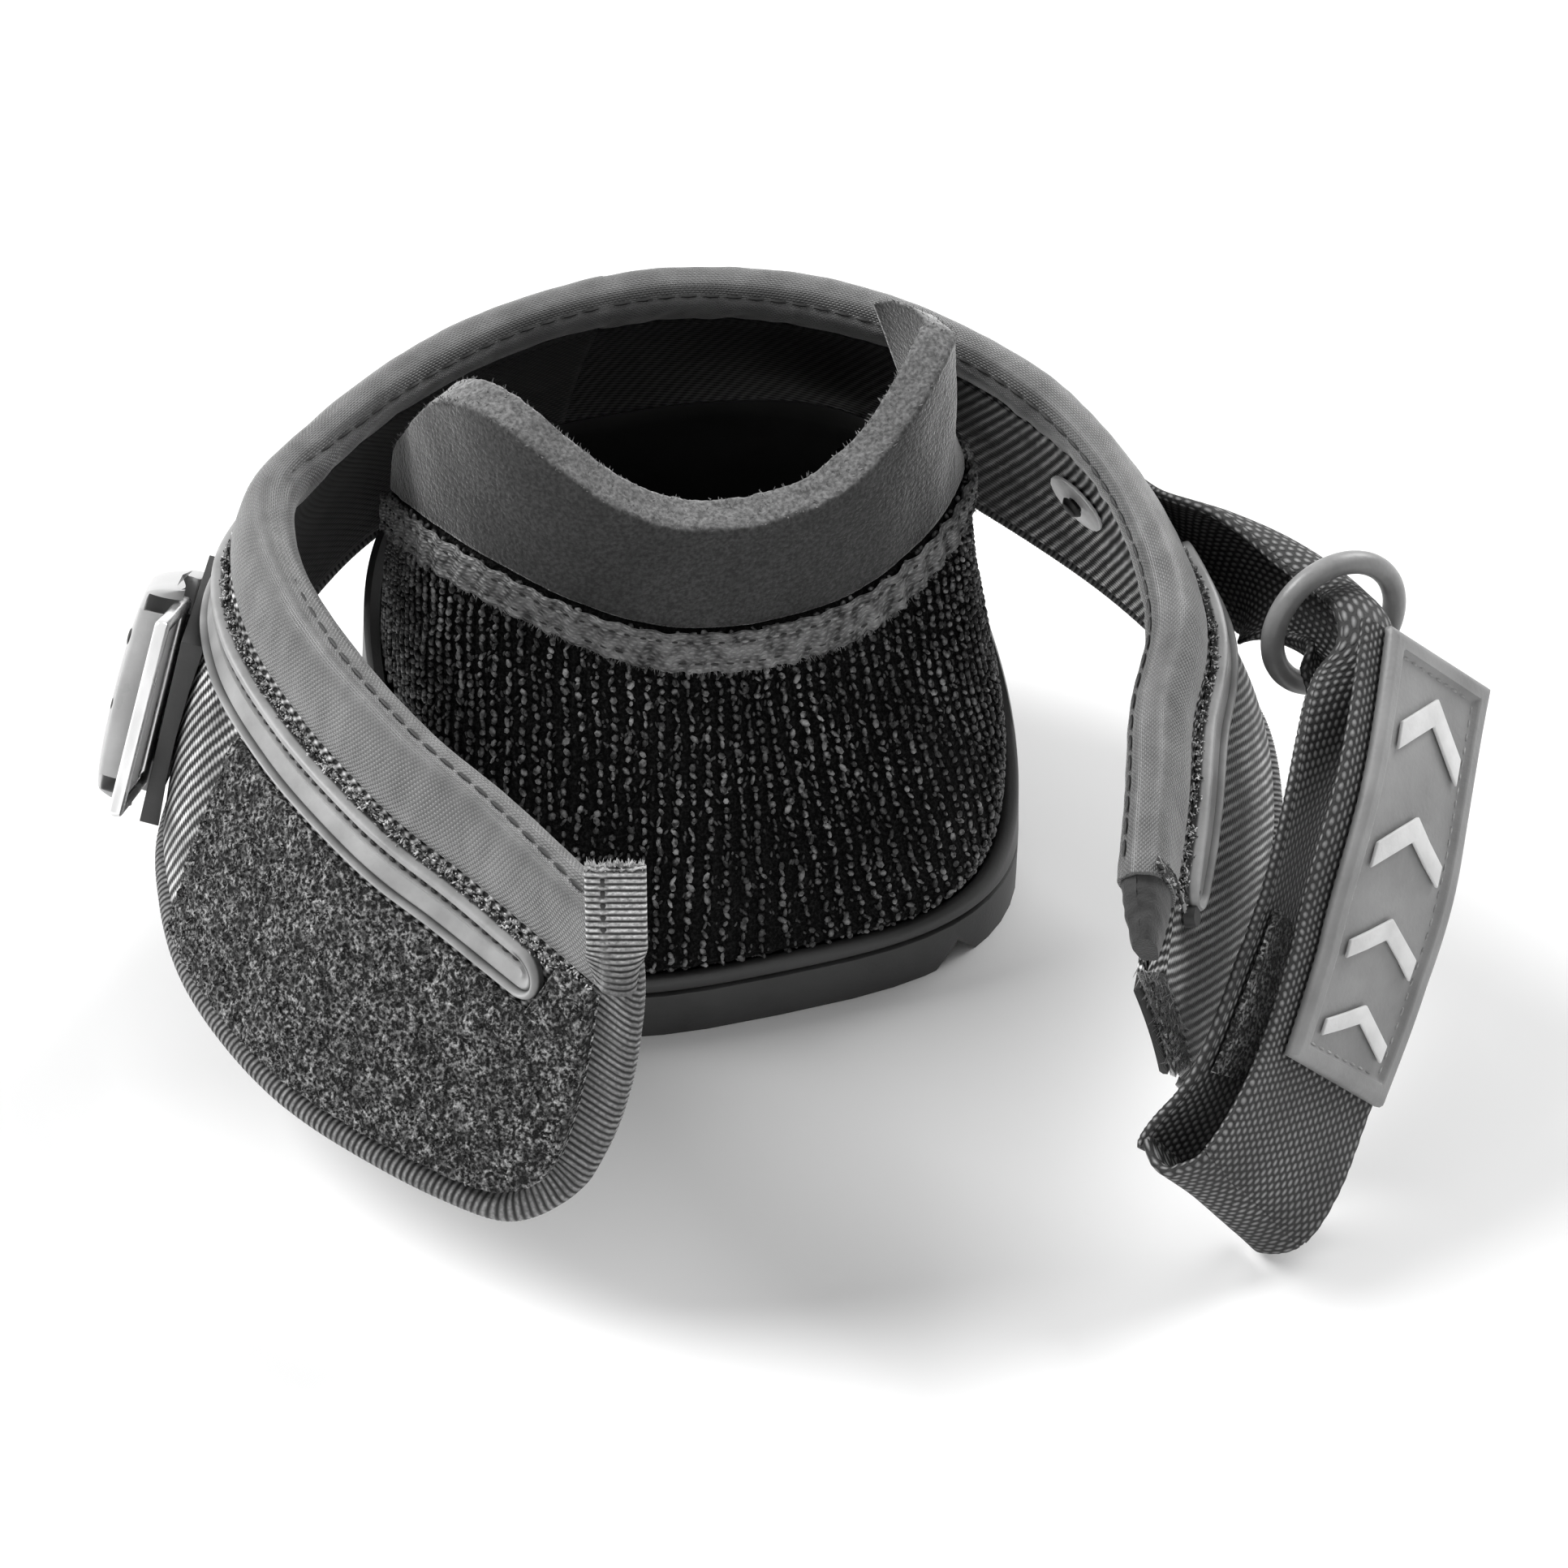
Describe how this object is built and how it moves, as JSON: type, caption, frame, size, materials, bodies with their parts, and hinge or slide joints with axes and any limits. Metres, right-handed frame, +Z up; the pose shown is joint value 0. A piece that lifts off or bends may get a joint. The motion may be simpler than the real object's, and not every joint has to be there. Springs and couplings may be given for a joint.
{
  "type": "horse hoof boot",
  "caption": "Rubber hoof boot with a knitted heel and foam cuff, a padded collar whose two flaps open at the heel, a side buckle and a folded webbing strap.",
  "frame": {"origin": "middle of the tread's centre pad, on the ground", "axes": "+Z up, +Y towards the toe, -Y towards the open heel, -X towards the buckle, +X towards the strap"},
  "size_m": [0.255, 0.2518, 0.1272],
  "materials": {
    "shell_rubber": "moulded, matt",
    "heel_knit": "open ribbed knit",
    "cut_foam": "cut foam, fine speckle",
    "lycra": "satin stretch cloth",
    "ribbed_nylon": "ribbed nylon cloth",
    "loop_pile": "fuzzy loop pile",
    "binding_tape": "ribbed binding tape",
    "strip_rubber": "satin rubber extrusion",
    "buckle_plastic": "smooth moulding",
    "loop_steel": "polished wire",
    "washer_metal": "bright washer and rivets",
    "webbing": "coarse woven webbing",
    "ring_rubber": "glossy rubber",
    "patch_rubber": "matt moulded rubber",
    "pale_rubber": "pale raised rubber"
  },
  "bodies": {
    "boot": {"outsole": "shell_rubber", "hoof_shell": "shell_rubber", "heel_counter": "heel_knit", "heel_foam_collar": "cut_foam", "footbed_pad": "cut_foam", "heel_lining": "lycra", "collar_rim": "lycra", "collar_panel": "ribbed_nylon", "collar_lining": "ribbed_nylon", "heel_seam_tape": "binding_tape", "collar_hem_binding": "binding_tape", "collar_rubber_strip": "strip_rubber", "buckle_base": "buckle_plastic", "buckle_housing": "buckle_plastic", "buckle_rivet_upper": "washer_metal", "buckle_rivet_lower": "washer_metal", "shell_screw_left": "washer_metal", "shell_screw_right": "washer_metal", "strap_rivet": "washer_metal", "rivet_washer": "washer_metal", "strap_anchor": "webbing"},
    "left_flap": {"left_flap_rim": "lycra", "left_flap_panel": "ribbed_nylon", "left_flap_lining": "ribbed_nylon", "left_flap_loop_pile": "loop_pile", "left_flap_binding": "binding_tape", "left_flap_rubber_strip": "strip_rubber"},
    "right_flap": {"right_flap_rim": "lycra", "right_flap_panel": "ribbed_nylon", "right_flap_lining": "ribbed_nylon", "right_flap_hook_patch": "loop_pile", "right_flap_hem_binding": "binding_tape", "right_flap_rubber_strip": "strip_rubber"},
    "strap": {"strap_leg": "webbing", "strap_loop_tape": "loop_pile"},
    "keeper_ring": {"keeper_ring": "ring_rubber"},
    "strap_tail": {"strap_tail": "webbing", "strap_hook_tape": "loop_pile", "strap_patch": "patch_rubber", "patch_chevron_1": "pale_rubber", "patch_chevron_2": "pale_rubber", "patch_chevron_3": "pale_rubber", "patch_chevron_4": "pale_rubber"},
    "buckle_loop": {"buckle_loop": "loop_steel"}
  },
  "joints": [
    {"name": "left_flap_turn", "type": "hinge", "parent": "boot", "child": "left_flap", "pos_m": [-0.0806, -0.03172, 0.10335], "axis": [0.38, 0.0601, 0.923], "range_deg": [-8, 24]},
    {"name": "right_flap_turn", "type": "hinge", "parent": "boot", "child": "right_flap", "pos_m": [0.06368, -0.0728, 0.10542], "axis": [0.3605, 0.4877, -0.7951], "range_deg": [-2, 20]},
    {"name": "strap_swing", "type": "hinge", "parent": "boot", "child": "strap", "pos_m": [0.08711, -0.03581, 0.08093], "axis": [-0.4084, 0.0157, 0.9127], "range_deg": [0, 35]},
    {"name": "keeper_turn", "type": "hinge", "parent": "strap", "child": "keeper_ring", "pos_m": [0.10312, -0.08876, 0.08727], "axis": [0.1193, -0.9927, 0.0184], "continuous": true},
    {"name": "tail_unfold", "type": "hinge", "parent": "strap", "child": "strap_tail", "pos_m": [0.05874, -0.16694, 0.02077], "axis": [0.585, 0.0397, -0.81], "range_deg": [0, 90]},
    {"name": "loop_turn", "type": "hinge", "parent": "boot", "child": "buckle_loop", "pos_m": [-0.10953, -0.01526, 0.06661], "axis": [-0.3703, -0.2973, -0.88], "range_deg": [0, 25]}
  ]
}
